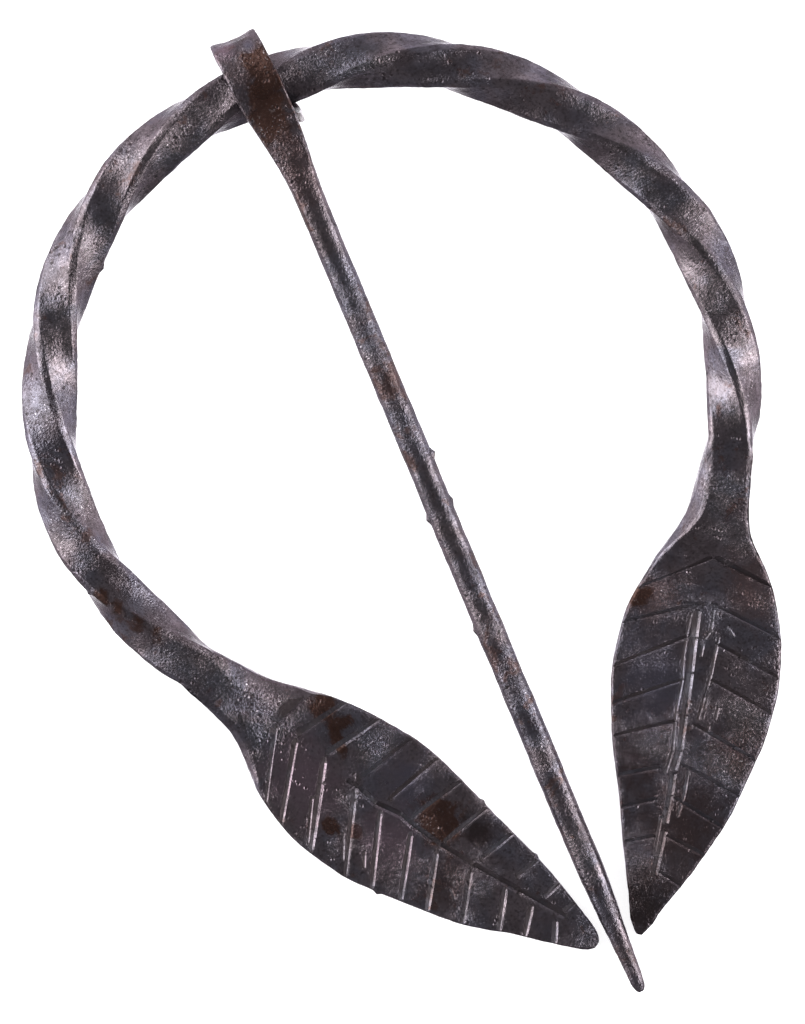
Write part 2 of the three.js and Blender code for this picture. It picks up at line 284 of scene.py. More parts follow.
def makeForgeScale():
    # oxide scale: colour clouds in three tones, a dark mottle, and fine bright specks in patches
    group, given, result = newGroup(
        "forgeScale",
        [("Vector", "Vector", None), ("Blue", "Color", (0.03, 0.03, 0.04, 1)),
         ("Brown", "Color", (0.03, 0.02, 0.018, 1)), ("Black", "Color", (0.008, 0.007, 0.007, 1))],
        [("Color", "Color"), ("Mottle", "Float"), ("Specks", "Float")])
    place = given.outputs["Vector"]
    clouds = addNoise(group, place, patternSizes["clouds"], 3.0, 0.6, 0.4)
    clouds = addRange(group, clouds, 0.40, 0.62)
    dark = addNoise(group, place, patternSizes["mottle"], 4.0, 0.65, 0.2)
    dark = addRange(group, dark, 0.42, 0.60)
    fine = addNoise(group, place, patternSizes["specks"], 2.0, 0.7)
    patches = addNoise(group, place, patternSizes["speckPatches"], 2.0)
    patches = addRange(group, patches, 0.44, 0.66, 0.15, 1.0)
    colour = addMix(group, clouds, given.outputs["Brown"], given.outputs["Blue"])
    colour = addMix(group, times(group, dark, 0.45), colour, given.outputs["Black"])
    colour = addMix(group, addRange(group, fine, 0.50, 0.30, 0.0, 0.8), colour, given.outputs["Black"])
    specks = times(group, addRange(group, fine, 0.60, 0.72), patches)
    group.links.new(colour, result.inputs["Color"])
    group.links.new(dark, result.inputs["Mottle"])
    group.links.new(specks, result.inputs["Specks"])
    return group


def makePitting():
    # fine raised grain with scattered pits, as height in millimetres
    group, given, result = newGroup(
        "pitting",
        [("Vector", "Vector", None), ("Grain", "Float", 0.02), ("Pits", "Float", 0.03)],
        [("Height", "Float"), ("Pit", "Float")])
    place = given.outputs["Vector"]
    rough = addNoise(group, place, patternSizes["grainPatches"], 2.0)
    rough = addRange(group, rough, 0.38, 0.64, 0.6, 1.4)
    grain = times(group, addNoise(group, place, patternSizes["grain"], 3.0, 0.62), rough)
    cells = addNode(group, "TexVoronoi")
    cells.inputs["Scale"].default_value = 1000 / patternSizes["pits"]
    group.links.new(place, cells.inputs["Vector"])
    hollow = addRange(group, cells.outputs["Distance"], 0.12, 0.34, 1.0, 0.0)
    where = addRange(group, addNoise(group, place, patternSizes["pitPatches"], 2.0), 0.50, 0.62)
    pit = times(group, hollow, where)
    height = addMath(group, "SUBTRACT", times(group, grain, given.outputs["Grain"]),
                     times(group, pit, given.outputs["Pits"]))
    group.links.new(height, result.inputs["Height"])
    group.links.new(pit, result.inputs["Pit"])
    return group


def makeRustBloom():
    # soft-edged blooms of rust, more of them for a larger amount
    group, given, result = newGroup(
        "rustBloom", [("Vector", "Vector", None), ("Amount", "Float", 0.5)], [("Mask", "Float")])
    place = given.outputs["Vector"]
    wide = addNoise(group, place, patternSizes["bloom"], 4.0, 0.6, 0.6)
    fine = addNoise(group, place, patternSizes["bloomEdge"], 3.0, 0.6)
    both = addMath(group, "ADD", times(group, wide, 0.7),
                   times(group, fine, 0.3))
    lifted = addMath(group, "ADD", both, times(group, given.outputs["Amount"], 0.25))
    group.links.new(addRange(group, lifted, 0.60, 0.68), result.inputs["Mask"])
    return group


def makeStain():
    # one stain, or patch of painted shade, with a ragged edge round a centre, given in metres
    group, given, result = newGroup(
        "stain",
        [("Vector", "Vector", None), ("Centre", "Vector", (0, 0, 0)), ("Size", "Vector", (1, 1, 1)),
         ("Soft", "Float", 0.3)],
        [("Mask", "Float")])
    away = addNode(group, "VectorMath", operation="SUBTRACT")
    joinUp(group, given, "Vector", away, 0)
    joinUp(group, given, "Centre", away, 1)
    share = addNode(group, "VectorMath", operation="DIVIDE")
    joinUp(group, away, "Vector", share, 0)
    joinUp(group, given, "Size", share, 1)
    length = addNode(group, "VectorMath", operation="LENGTH")
    joinUp(group, share, "Vector", length, 0)
    ragged = addNoise(group, given.outputs["Vector"], patternSizes["stainEdge"], 4.0, 0.65, 0.5)
    reach = addMath(group, "ADD", length.outputs["Value"],
                    times(group, addMath(group, "SUBTRACT", ragged, 0.5), 1.6))
    inside = addMath(group, "SUBTRACT", 1.05, reach)
    inside = addMath(group, "DIVIDE", inside, given.outputs["Soft"], clamp=True)
    group.links.new(inside, result.inputs["Mask"])
    return group


forgeScale = makeForgeScale()
pitting = makePitting()
rustBloom = makeRustBloom()
stain = makeStain()

# the tones are of the oxide skin, save the painted shade for the chisel strokes and the 'shade' kind on
# the strap's curled end; stains are placed in millimetres from the ring's middle
ironFinish = {
    "blue": (0.056, 0.053, 0.064, 1),
    "brown": (0.065, 0.054, 0.059, 1),
    "black": (0.017, 0.013, 0.014, 1),
    # the next tone is painted shade for the gentle walls of the chisel strokes
    "paintedShadeTone": (0.024, 0.023, 0.028, 1),
    "speck": (0.24, 0.22, 0.23),
    "bloom": (0.034, 0.020, 0.018),
    "metallic": 0.9,
    "roughness": 0.19,
    "mottleDulls": 0.08,      # roughness added by the mottle, and by rust
    "rustDulls": 0.08,
    "edgeTint": (0.34, 0.33, 0.34, 1),
    "coat": 0.06,
    "coatRoughness": 0.2,
    "ringGrain": 0.10,
    "pinGrain": 0.105,
    # grain of the painted shade in the strokes
    "paintedShadeGrain": 0.1,
    "pits": 0.08,
    "ringRust": 0.10,
    "pinRust": 0.25,
    # how strongly each of these shows
    "bloomShare": 0.8,
    "speckShare": 0.6,
    "pitShare": 0.85,
    # roughness of the painted shade in the strokes
    "paintedShadeRoughness": (0.40, 0.55),
    # tone, strength and softness of each kind of stain; the 'shade' kind is painted shade, not a stain
    "kinds": {
        "warm": ((0.054, 0.036, 0.036), 0.8, 0.9),
        "red": ((0.030, 0.020, 0.020), 0.85, 0.9),
        "rust": ((0.024, 0.012, 0.009), 0.95, 0.35),
        "black": ((0.018, 0.013, 0.013), 0.9, 0.7),
        # painted shade for the inner face of the strap's curled end
        "shade": ((0.020, 0.012, 0.010), 0.95, 0.3),
        "blue": ((0.046, 0.043, 0.056), 0.8, 0.9),
        "purple": ((0.078, 0.056, 0.068), 0.7, 0.9),
    },
    # kind, place and half size of each stain
    "ringStains": [
        ("warm", (18.5, -31, 2.5), (4.8, 3.6, 3)), ("warm", (28.8, -34.5, 2), (3.2, 5.5, 3)),
        ("blue", (15, -40, 2), (4.5, 6.5, 3)), ("red", (12, -56, 2), (6.5, 8.5, 3)),
        ("red", (20.5, -50.5, 2), (4.5, 4.5, 3)), ("black", (4.5, -62, 2), (3.5, 5, 3)),
        ("red", (9, -48, 2), (2.5, 3, 3)), ("rust", (17.2, -30.6, 2.5), (1.6, 1.2, 2)),
        ("rust", (-20, -28.2, 2.5), (1.9, 1.7, 2)), ("rust", (-18.9, -30.8, 2.5), (1.7, 1, 2)),
        ("rust", (-20, -32.6, 2.5), (0.9, 2.3, 2)), ("blue", (-14.7, -39.5, 2), (3.6, 4.2, 3)),
        ("rust", (-13, -45, 2), (2.8, 3.6, 3)), ("black", (-9.5, -48, 2), (2.2, 3.2, 3)),
        ("red", (-15, -51.5, 2), (3.2, 3.4, 3)), ("purple", (-25, -35, 2), (5, 6.5, 3)),
        ("rust", (-24.2, -41, 2), (1.1, 1.3, 2)), ("rust", (-22, -42.6, 2), (0.9, 1, 2)),
        ("purple", (-19, -45, 2), (4, 5, 3)), ("rust", (-37.8, -7.6, 4.5), (0.9, 1.3, 2.5)),
        ("rust", (-36.6, -9.6, 4.5), (1, 1.4, 2.5)), ("rust", (-35.2, -11.8, 4.5), (1, 1.4, 2.5)),
        ("rust", (-33.8, -13.8, 4.5), (1, 1.3, 2.5)),
    ],
    "pinStains": [
        ("red", (-0.4, 37, 9), (3.6, 9, 4)), ("rust", (0.9, 38.6, 9.5), (2.2, 4.4, 2)),
        # the 'shade' entry is painted shade on the inner face of the strap's curled end
        ("shade", (2.4, 32.9, 5.5), (1.5, 2, 3.5)), ("purple", (-2.2, 42.9, 8), (1.6, 1.6, 3)),
        ("blue", (0.6, 42.2, 8.4), (0.9, 0.9, 1.5)), ("warm", (0.2, 28, 9), (2.6, 6, 3)),
        ("rust", (-0.4, 34.6, 9.5), (2.2, 4.2, 2)), ("red", (0.4, 29.5, 9), (2.4, 3.6, 2.5)),
    ],
}


def addGroup(tree, group, place, **values):
    node = addNode(tree, "Group", node_tree=group)
    tree.links.new(place, node.inputs["Vector"])
    setInputs(node, values)
    return node


def skinOf(name, blue, brown, grain):
    # a metal whose colour, grain and pits come from the shared patterns
    material = bpy.data.materials.new(name)
    material.use_nodes = True
    tree = material.node_tree
    shader = tree.nodes["Principled BSDF"]
    place = addNode(tree, "TexCoord").outputs["Object"]
    scale = addGroup(tree, forgeScale, place, Blue=blue, Brown=brown, Black=ironFinish["black"])
    pits = addGroup(tree, pitting, place, Grain=grain, Pits=ironFinish["pits"])
    bump = addNode(tree, "Bump")
    bump.inputs["Distance"].default_value = patternSizes["bump"]
    joinUp(tree, pits, "Height", bump, "Height")
    joinUp(tree, bump, "Normal", shader, "Normal")
    shader.inputs["Metallic"].default_value = ironFinish["metallic"]
    return material, tree, shader, place, scale, pits


def makeIron(part):
    material, tree, shader, place, scale, pits = skinOf(
        part + "Iron", ironFinish["blue"], ironFinish["brown"], ironFinish[part + "Grain"])
    rust = addGroup(tree, rustBloom, place, Amount=ironFinish[part + "Rust"]).outputs["Mask"]
    share = times(tree, rust, ironFinish["bloomShare"])
    colour = addMix(tree, share, scale.outputs["Color"], ironFinish["bloom"])
    dull = rust
    for kind, centre, size in ironFinish[part + "Stains"]:
        tone, strength, soft = ironFinish["kinds"][kind]
        spot = ringMiddle + Vector(centre)
        mask = addGroup(tree, stain, place, Centre=tuple(v / 1000 for v in spot),
                        Size=tuple(v / 1000 for v in size), Soft=soft).outputs["Mask"]
        colour = addMix(tree, times(tree, mask, strength), colour, tone)
        if kind == "rust":
            dull = addMath(tree, "MAXIMUM", dull, mask)
        if kind == "shade":
            # the painted shade also takes away the metal, so that the curl end reflects little
            metalOutsideShade = addMath(tree, "SUBTRACT", 1.0, mask)
            metalOutsideShade = times(tree, metalOutsideShade, ironFinish["metallic"])
            tree.links.new(metalOutsideShade, shader.inputs["Metallic"])
    share = times(tree, scale.outputs["Specks"], ironFinish["speckShare"])
    colour = addMix(tree, share, colour, ironFinish["speck"])
    share = times(tree, pits.outputs["Pit"], ironFinish["pitShare"])
    colour = addMix(tree, share, colour, ironFinish["black"][:3])
    tree.links.new(colour, shader.inputs["Base Color"])
    mottle = times(tree, scale.outputs["Mottle"], ironFinish["mottleDulls"])
    rough = addMath(tree, "ADD", ironFinish["roughness"], mottle)
    rough = addMath(tree, "ADD", rough, times(tree, dull, ironFinish["rustDulls"]))
    tree.links.new(rough, shader.inputs["Roughness"])
    setInputs(shader, {"Coat Weight": ironFinish["coat"],
                       "Coat Roughness": ironFinish["coatRoughness"],
                       "Specular Tint": ironFinish["edgeTint"]})
    return material


def makeVeinPaintedShade():
    # painted shade: a dull dark finish on the gentle wall of every chisel stroke, with all of these
    # walls facing the same way
    material, tree, shader, _, scale, _ = skinOf(
        "veinPaintedShade", ironFinish["paintedShadeTone"], ironFinish["black"], ironFinish["paintedShadeGrain"])
    tree.links.new(scale.outputs["Color"], shader.inputs["Base Color"])
    rough = addRange(tree, scale.outputs["Mottle"], 0.0, 1.0, *ironFinish["paintedShadeRoughness"])
    tree.links.new(rough, shader.inputs["Roughness"])
    return material


ringIron = makeIron("ring")
pinIron = makeIron("pin")
veinPaintedShade = makeVeinPaintedShade()
print("materials made")


# The ring: a square bar twisted and bent round, with a leaf drawn out of each end.

ringBar = {
    "radius": 38.0,
    "side": 5.0,
    "rightEnd": -29.4,        # degrees round the ring, from +X
    "leftEnd": 210.6,
    "quarterTurns": 11,       # of the twist, over the whole bar
    "cells": 6,               # across each side
    "stations": 96,           # along the bar
    "corner": 0.6,            # the hammered flat of each corner
    "cornerCrease": 0.7,
    "neckHeight": 3.0,
    "neckY": -18.6,
    "rise": 1.91,             # degrees that the bar rises towards the pin's loop
    # angle, and how far the bar strays outwards from a true circle there
    "stray": [(-30, -0.1), (-12, 0.2), (5, 0.3), (22, 0.0), (45, -0.3), (72, -0.1), (90, -0.3),
              (103, 0.05), (122, 0.4), (138, 0.3), (153, -0.1), (178, -0.2), (193, -1.0),
              (203, -1.4), (211, -1.5)],
}

leafBlade = {
    "stations": [1.2, 2.6, 4, 5.5, 7, 8.5, 10, 11.2, 12.4, 13.6, 15, 16.8, 19, 21.2, 23.4, 25.6,
                 27.8, 30, 32.2, 34.4, 36.6, 38.8, 41, 43.2, 45.4, 47.6, 49.6, 51.2, 52.4, 53.2,
                 53.8, 54.2],
    # distance from the neck, height of the face and of the back
    "heights": [(0, 5.5, 0.5), (4, 5.0, 0.2), (8, 4.0, 0.05), (11, 3.1, 0), (14, 2.45, 0), (18, 2.1, 0),
                (30, 1.9, 0), (48, 1.7, 0), (55.6, 1.4, 0)],
    "faceEdge": 0.2,
    "backEdge": 0.2,
    "crown": 0.12,
    "deepestBevel": 0.55,
    "edgeCrease": 0.75,
}

rightLeaf = {
    "end": ringBar["rightEnd"],
    "tip": (2.55, -65.2),
    # distance from the neck, outer and inner half-width
    "outline": [(0, 2.5, 2.5), (4, 3.0, 2.9), (8, 3.6, 3.2), (10, 4.2, 3.9), (12, 5.6, 4.8),
                (14, 7.0, 5.8), (17, 8.4, 6.9), (21, 9.7, 8.1), (26, 10.3, 8.4), (31, 10.0, 7.7),
                (36, 8.9, 6.5), (41, 7.6, 4.9), (46, 5.5, 3.6), (50, 3.4, 2.3), (53, 1.7, 1.5),
                (54.6, 1.15, 1.05), (55.2, 0.85, 0.75), (55.6, 0.4, 0.3)],
    # distance, and the widths of the bevels along the outer and inner edge of the face
    "bevels": [(0, 0.6, 0.6), (4, 0.45, 1.4), (9, 0.4, 1.7), (12, 0.35, 1.0), (15, 0.3, 0.4),
               (20, 0.2, 0.2), (56, 0.2, 0.2)],
    "pitches": (1.0, 1.3),    # how steeply the outer and inner bevel fall
    # where each vein starts at the midrib and ends at the edge
    "outerVeins": [(13.1, 15.1), (18.1, 20.6), (22.3, 25), (26.4, 29), (31.6, 34.4), (36.2, 38.6),
                   (40, 42.4), (44.3, 45.8), (48.4, 49.6)],
    "innerVeins": [(13.1, 18), (18.1, 22), (22, 27), (26.9, 31.1), (31.6, 34.6), (37, 38.8),
                   (40.5, 42.2), (44.6, 46)],
    # width and depth of the strokes
    "strokes": {"outer": (0.5, 0.13), "inner": (0.5, 0.13), "midrib": (0.8, 0.22),
                "scratch": (0.32, 0.08)},
    # lines of strokes along the midrib, and fainter scratches beside them
    "midrib": [[(19.1, -0.12), (22.1, 0.06), (26, 0.34), (30.8, 0.55), (34.8, 0.75), (37, 0.5)],
               [(37.4, 0.5), (39.8, 0.62), (43, 0.61)],
               [(43.8, 0.68), (46.8, 0.52), (48.8, 0.48)]],
    "scratches": [[(19.5, -0.8), (21.9, -0.8), (24.9, -0.68), (26.8, -0.38), (30.6, -0.43),
                   (35, -0.03), (37.5, -0.34)],
                  [(18.7, 1.62), (21, 1.74), (22, 1.25)], [(36.4, 2.1), (39.5, 2.15), (42, 1.9)],
                  [(21.6, 2.75), (24.3, 2.66), (25.8, 2.63), (28.8, 2.32), (31, 2.15)],
                  [(22.3, 0.92), (22.8, 1.19), (24, 1.17)], [(42.3, 0.04), (46.6, 0.12)],
                  [(27.2, 2.75), (29.8, 2.65)], [(18.6, -1.9), (18.4, 0.4)], [(20.3, 3.6), (21.2, 4.3)],
                  [(29.3, 4.1), (30.6, 4.0)], [(31.5, 3.4), (32.9, 3.6)]],
    # distance, side and half-gap of the veins' roots
    "veinRoots": [(13, 0.5, 0.1), (18, 0.9, 0.3), (22, 1.0, 1.4), (27, 1.2, 1.4), (32, 0.7, 0.9),
                  (37, 0, 1.0), (45, 0.4, 0.5), (50, 0.5, 0.3)],
}

leftLeaf = {
    "end": ringBar["leftEnd"],
    "tip": (-2.1, -64.5),
    "outline": [(0, 2.5, 2.5), (4, 3.1, 3.0), (8, 4.0, 3.6), (10, 5.1, 4.3), (12, 6.4, 5.0),
                (14, 7.7, 5.7), (17, 8.8, 6.4), (21, 9.8, 7.0), (26, 9.9, 7.3), (31, 9.1, 6.6),
                (36, 8.0, 5.6), (41, 6.7, 4.7), (46, 4.4, 3.6), (50, 2.9, 2.4), (52, 2.0, 1.8),
                (53.2, 1.5, 1.45), (54, 1.05, 1.0), (54.5, 0.45, 0.4)],
    "bevels": [(0, 0.6, 0.6), (2, 0.4, 1.2), (5, 0.7, 2.0), (8, 1.1, 2.2), (11, 1.2, 1.6),
               (14, 0.6, 0.6), (18, 0.2, 0.2), (56, 0.2, 0.2)],
    "pitches": (1.2, 0.5),
    "outerVeins": [(11.2, 15.4), (13.9, 18.1), (17.7, 22.6), (22.2, 27.3), (26.1, 30.4), (30.3, 33.8),
                   (33.8, 36.9), (38.1, 40.9), (42.4, 44.7), (45.9, 47.4), (49.1, 50.6)],
    "innerVeins": [(11.2, 12.2), (13.9, 16.3), (17.7, 20.4), (22.2, 24.6), (26.3, 28.2),
                   (29.5, 31.8), (34, 35.8), (38.4, 39.8), (42.8, 43.8), (46.5, 47.2), (49.3, 49.9)],
    "strokes": {"outer": (0.6, 0.15), "inner": (0.6, 0.11), "midrib": (0.84, 0.22),
                "scratch": (0.32, 0.08)},
    "midrib": [[(21.3, 0.95), (22.6, 0.8), (25.3, 1.15), (28.4, 0.6), (30.1, 0.8), (33.8, 0.87),
                (38, 0.6), (44, 0), (50, -0.6)]],
    "scratches": [[(19, 2.26), (22, 8.4)], [(19.1, 4.59), (21.7, 9.2)], [(24.2, 5.87), (25.9, 8.4)],
                  [(27.3, 6.2), (28.3, 7.7)], [(23.0, 3.2), (23.8, 3.6)], [(37.6, 4.2), (38.6, 4.9)]],
    "veinRoots": [(11, 0.1, 0), (18, 0, 0.1), (22, 0.5, 0.1), (26, 0.7, 0.6), (34, 1.0, 0.5),
                  (38, 0.5, 0.6), (43, -0.2, 0.7), (50, -0.2, 0.6)],
}

chisel = {
    "keelShift": 0.12,        # share of the width by which the keel lies nearer to the steep wall
    "lift": 2.0,              # how far the blade stands above the face, in depths of the stroke
    "entry": 0.06,            # share of the stroke in which it runs in and out
    "entryDepth": 0.4,
    # the gentle walls, which carry the painted shade, all face the opposite side
    "steepWall": (-0.38, 0.925),      # the side that every steep wall faces, seen on the ring
}


def barPoint(angle):
    reach = ringBar["radius"] + smoothAt(ringBar["stray"], angle)
    return Vector((reach * cos(radians(angle)), reach * sin(radians(angle)), 0.0))


def leafAxes(leaf):
    neck = barPoint(leaf["end"])
    along = Vector((*leaf["tip"], 0.0)) - neck
    length = along.length
    along.normalize()
    across = Vector((-along.y, along.x, 0.0))
    if across.x * neck.x < 0:
        across.negate()
    return neck, along, across, length


def makeGuide():
    # the line that the straight forging is bent along: right leaf, ring, left leaf
    steps = 240
    arc = [barPoint(ringBar["rightEnd"] + k * (ringBar["leftEnd"] - ringBar["rightEnd"]) / steps)
           for k in range(steps + 1)]
    rightTip = Vector((*rightLeaf["tip"], 0.0))
    leftTip = Vector((*leftLeaf["tip"], 0.0))
    points = [rightTip.lerp(arc[0], k / 20) for k in range(20)] + arc
    points += [arc[-1].lerp(leftTip, k / 20) for k in range(1, 21)]
    line = bpy.data.curves.new("bendingGuide", "CURVE")
    line.dimensions = "3D"
    line.twist_mode = "Z_UP"
    spline = line.splines.new("POLY")
    spline.points.add(len(points) - 1)
    for place, point in zip(spline.points, points):
        place.co = (*point, 1.0)
    guide = bpy.data.objects.new("bendingGuide", line)
    bpy.context.scene.collection.objects.link(guide)
    lengths = [(b - a).length for a, b in zip(points, points[1:])]
    return guide, sum(lengths[:20]), sum(lengths[20:-20])


def leafHeights(distance):
    return smoothAt(leafBlade["heights"], distance, 1), smoothAt(leafBlade["heights"], distance, 2)


def halfWidths(leaf, distance):
    return smoothAt(leaf["outline"], distance, 1), smoothAt(leaf["outline"], distance, 2)


def leafBevel(leaf, distance, column):
    # how far the face stops short of the outline, and how deep that bevel runs down the edge
    face, back = leafHeights(distance)
    soft = ringBar["corner"] + (leafBlade["faceEdge"] - ringBar["corner"]) * eased(0, 5, distance)
    gap = max(smoothAt(leaf["bevels"], distance, column) - soft, 0.0)
    pitch = 1 + (leaf["pitches"][column - 1] - 1) * eased(0, 12, distance)
    return gap, min(gap * pitch, leafBlade["deepestBevel"] * (face - back))


def drawOutLeaf(leaf, startX, way):
    # draws a leaf out of the bar's end, one station at a time; +Y is towards the ring's middle
    scale = leafAxes(leaf)[3] / leaf["outline"][-1][0]
    cells = ringBar["cells"]
    width, thickness, middle, height = ringBar["side"], ringBar["side"], 0.0, 0.0
    x = startX
    pick("FACE", lambda part: abs(part.calc_center_median().x - startX) < near)
    stations = []
    for distance in leafBlade["stations"] + [leaf["outline"][-1][0]]:
        outer, inner = halfWidths(leaf, distance)
        face, back = (value - ringBar["neckHeight"] for value in leafHeights(distance))
        nextX = startX + way * distance * scale
        nextMiddle = (inner - outer) / 2
        nextHeight = (face + back) / 2
        drawOut(nextX - x, nextMiddle - middle, nextHeight - height)
        stretch(1, (outer + inner) / width, (face - back) / thickness, (nextX, nextMiddle, nextHeight))
        x, middle, height = nextX, nextMiddle, nextHeight
        width, thickness = outer + inner, face - back
        stations.append((x, middle, face, back, outer, inner, distance))
    # the bevels down both edges of the neck: the face is narrower than the back
    for x, middle, face, back, outer, inner, distance in stations:
        def onFace(co):
            return abs(co.x - x) < near and co.z > face - near

        outerGap, outerDrop = leafBevel(leaf, distance, 1)
        innerGap, innerDrop = leafBevel(leaf, distance, 2)
        if outerGap + innerGap > 0.02:
            width = outer + inner
            cell = (face - back) / cells
            pickVerts(onFace)
            stretch(1, (width - outerGap - innerGap) / width, 1, (x, middle, face))
            shift(0, (outerGap - innerGap) / 2, 0)
            for edge, gap, drop in ((-outer, outerGap, outerDrop), (inner, -innerGap, innerDrop)):
                for row in range(1, cells):
                    level = back + row * cell
                    share = max(row - cells / 2, 0) / (cells / 2)
                    if share > 0:
                        target = face - drop * (1 - share)
                    else:
                        target = back + (face - drop - back) * row / (cells / 2)
                    pickVerts(lambda co: abs(co.x - x) < near and abs(co.y - edge) < near
                              and abs(co.z - level) < 0.02)
                    shift(0, gap * share, target - level)
        # the low crown along the middle of the blade
        crown = leafBlade["crown"] * eased(4, 14, distance)
        if crown > 0.01 and distance < 54:
            pickVerts(lambda co: onFace(co)
                      and -outer + outerGap + 0.3 < co.y < inner - innerGap - 0.3)
            shift(0, 0, crown * 0.6)
            pickVerts(lambda co: onFace(co) and abs(co.y - middle) < (outer + inner) * 0.2)
            shift(0, 0, crown * 0.4)


def layCorners(piece, leafRun, barRun):
    # weights for the corners' bevel: full on the bar, smaller on the leaves
    weights = piece.data.attributes.new("bevel_weight_edge", "FLOAT", "EDGE")
    for edge, first, second in cornerEdges(piece):
        if abs(first.x - second.x) < 0.05:
            continue
        middle = (first + second) / 2
        distance = max(leafRun - middle.x, middle.x - leafRun - barRun, 0.0)
        top = middle.z > (sum(leafHeights(distance)) / 2 - ringBar["neckHeight"])
        low = leafBlade["faceEdge"] if top else leafBlade["backEdge"]
        soft = ringBar["corner"] + (low - ringBar["corner"]) * eased(0, 5, distance)
        weights.data[edge.index].value = soft / ringBar["corner"]


def creaseCorners(piece, leafRun, barRun):
    creases = piece.data.attributes.new("crease_edge", "FLOAT", "EDGE")
    for edge, first, second in cornerEdges(piece):
        if abs(first.x - second.x) > 0.2:
            middle = (first.x + second.x) / 2
            onBar = leafRun < middle < leafRun + barRun
            crease = ringBar["cornerCrease"] if onBar else leafBlade["edgeCrease"]
            creases.data[edge.index].value = crease


def makeRing():
    guide, leafRun, barRun = makeGuide()
    half = ringBar["side"] / 2
    # the bar, square and straight, lies along X from its right end
    piece = startBlock("forgedRing", ringBar["side"], (barRun / 2, 0, 0), ringIron)
    stretch(barRun / ringBar["side"], 1, 1, (barRun / 2, 0, 0))
    bpy.ops.mesh.subdivide(number_cuts=ringBar["cells"] - 1)
    pick("EDGE", runsAlong(0))
    bpy.ops.mesh.subdivide(number_cuts=ringBar["stations"] // ringBar["cells"] - 1)
    objectMode()
    keepCorners(piece, lambda co: abs(co.y) > half - near and abs(co.z) > half - near)
    finishModifier(piece, "SIMPLE_DEFORM", "twist", deform_method="TWIST", deform_axis="X",
                   angle=radians(-90 * ringBar["quarterTurns"]))
    editMode()
    takeAll()
    shift(leafRun, 0, 0)
    print("bar twisted:", len(piece.data.vertices), "points")
    drawOutLeaf(rightLeaf, leafRun, -1)
    drawOutLeaf(leftLeaf, leafRun + barRun, 1)
    objectMode()
    print("leaves drawn out:", len(piece.data.vertices), "points")
    layCorners(piece, leafRun, barRun)
    finishModifier(piece, "BEVEL", "corners", limit_method="WEIGHT", width=ringBar["corner"], segments=1,
                   use_clamp_overlap=False)
    creaseCorners(piece, leafRun, barRun)
    takeUp(piece)
    finishModifier(piece, "CURVE", "bend", object=guide, deform_axis="POS_X")
    bpy.data.objects.remove(guide)
    editMode()
    takeAll()
    shift(0, 0, ringBar["neckHeight"])
    pickVerts(lambda co: co.y > ringBar["neckY"])
    bpy.ops.transform.rotate(value=radians(-ringBar["rise"]), orient_axis="X",
                             center_override=(0, ringBar["neckY"], ringBar["neckHeight"]))
    objectMode()
    finishModifier(piece, "SUBSURF", "smooth", levels=2, render_levels=2)
    print("ring bent round:", len(piece.data.vertices), "points")
    return piece


forgedRing = makeRing()


# The veins and the midrib are struck with one chisel, whose copies are cut out of the leaves.

def makeChisel():
    # a V-shaped blade one millimetre long, wide and deep, that runs out towards both ends
    lift = chisel["lift"]
    middle = 1 - 2 * chisel["entry"]
    blade = startBlock("chiselBlade", 1, (0, 0, 0), veinPaintedShade, ringIron)
    bpy.ops.transform.resize(value=(middle, 1 + lift, 1 + lift))
    shift(0, 0, (lift - 1) / 2)
    pickVerts(lambda co: co.z < 0)
    stretch(1, 0, 1, (0, 0, -1))
    shift(0, chisel["keelShift"], 0)
    takeAll()
    bpy.ops.mesh.remove_doubles(threshold=0.001)
    # the walls lean with the keel, so that they meet the face one millimetre apart
    pickVerts(lambda co: co.z > lift - near)
    shift(0, -chisel["keelShift"] * lift, 0)
    small = (chisel["entryDepth"] + lift) / (1 + lift)
    for way in (-1, 1):
        pick("FACE", lambda face: face.calc_center_median().x * way > middle / 2 - near
             and abs(face.normal.x) > 0.9)
        drawOut(way * chisel["entry"], 0, 0)
        stretch(1, small, small, (way / 2, -chisel["keelShift"] * lift, lift))
    # the steep wall keeps the iron; the blade's other faces give the gentle wall its painted shade
    pick("FACE", lambda face: face.normal.y > 0.3)
    blade.active_material_index = 1
    bpy.ops.object.material_slot_assign()
    objectMode()
    return blade


def faceSpot(leaf, distance, side):
    neck, along, across, _ = leafAxes(leaf)
    face = leafHeights(distance)[0]
    outer, inner = halfWidths(leaf, distance)
    rib = (outer - inner) / 2
    crown = leafBlade["crown"] * eased(4, 14, distance)
    crown *= 1 - min(abs(side - rib) / ((outer + inner) / 2), 1)
    place = neck + along * distance + across * side
    return Vector((place.x, place.y, face + crown))


def leafStrokes(leaf):
    # the strokes of a leaf as two spots with a width and depth, in sets that do not cross
    sets = []
    sizes = leaf["strokes"]
    for side, way, column in (("outer", 1, 1), ("inner", -1, 2)):
        strokes = []
        for rootAt, edgeAt in leaf[side + "Veins"]:
            root = smoothAt(leaf["veinRoots"], rootAt, 1) + way * smoothAt(leaf["veinRoots"], rootAt, 2)
            edge = way * (smoothAt(leaf["outline"], edgeAt, column) + 0.15)
            strokes.append((faceSpot(leaf, rootAt, root), faceSpot(leaf, edgeAt, edge), *sizes[side]))
        sets.append(strokes)
    for name, key in (("midrib", "midrib"), ("scratches", "scratch")):
        sets += [[], []]
        for line in leaf[name]:
            for k, (first, last) in enumerate(zip(line, line[1:])):
                start, end = faceSpot(leaf, *first), faceSpot(leaf, *last)
                reach = (end - start).normalized() * 0.12
                sets[-1 - k % 2].append((start - reach, end + reach, *sizes[key]))
    return [strokes for strokes in sets if strokes]


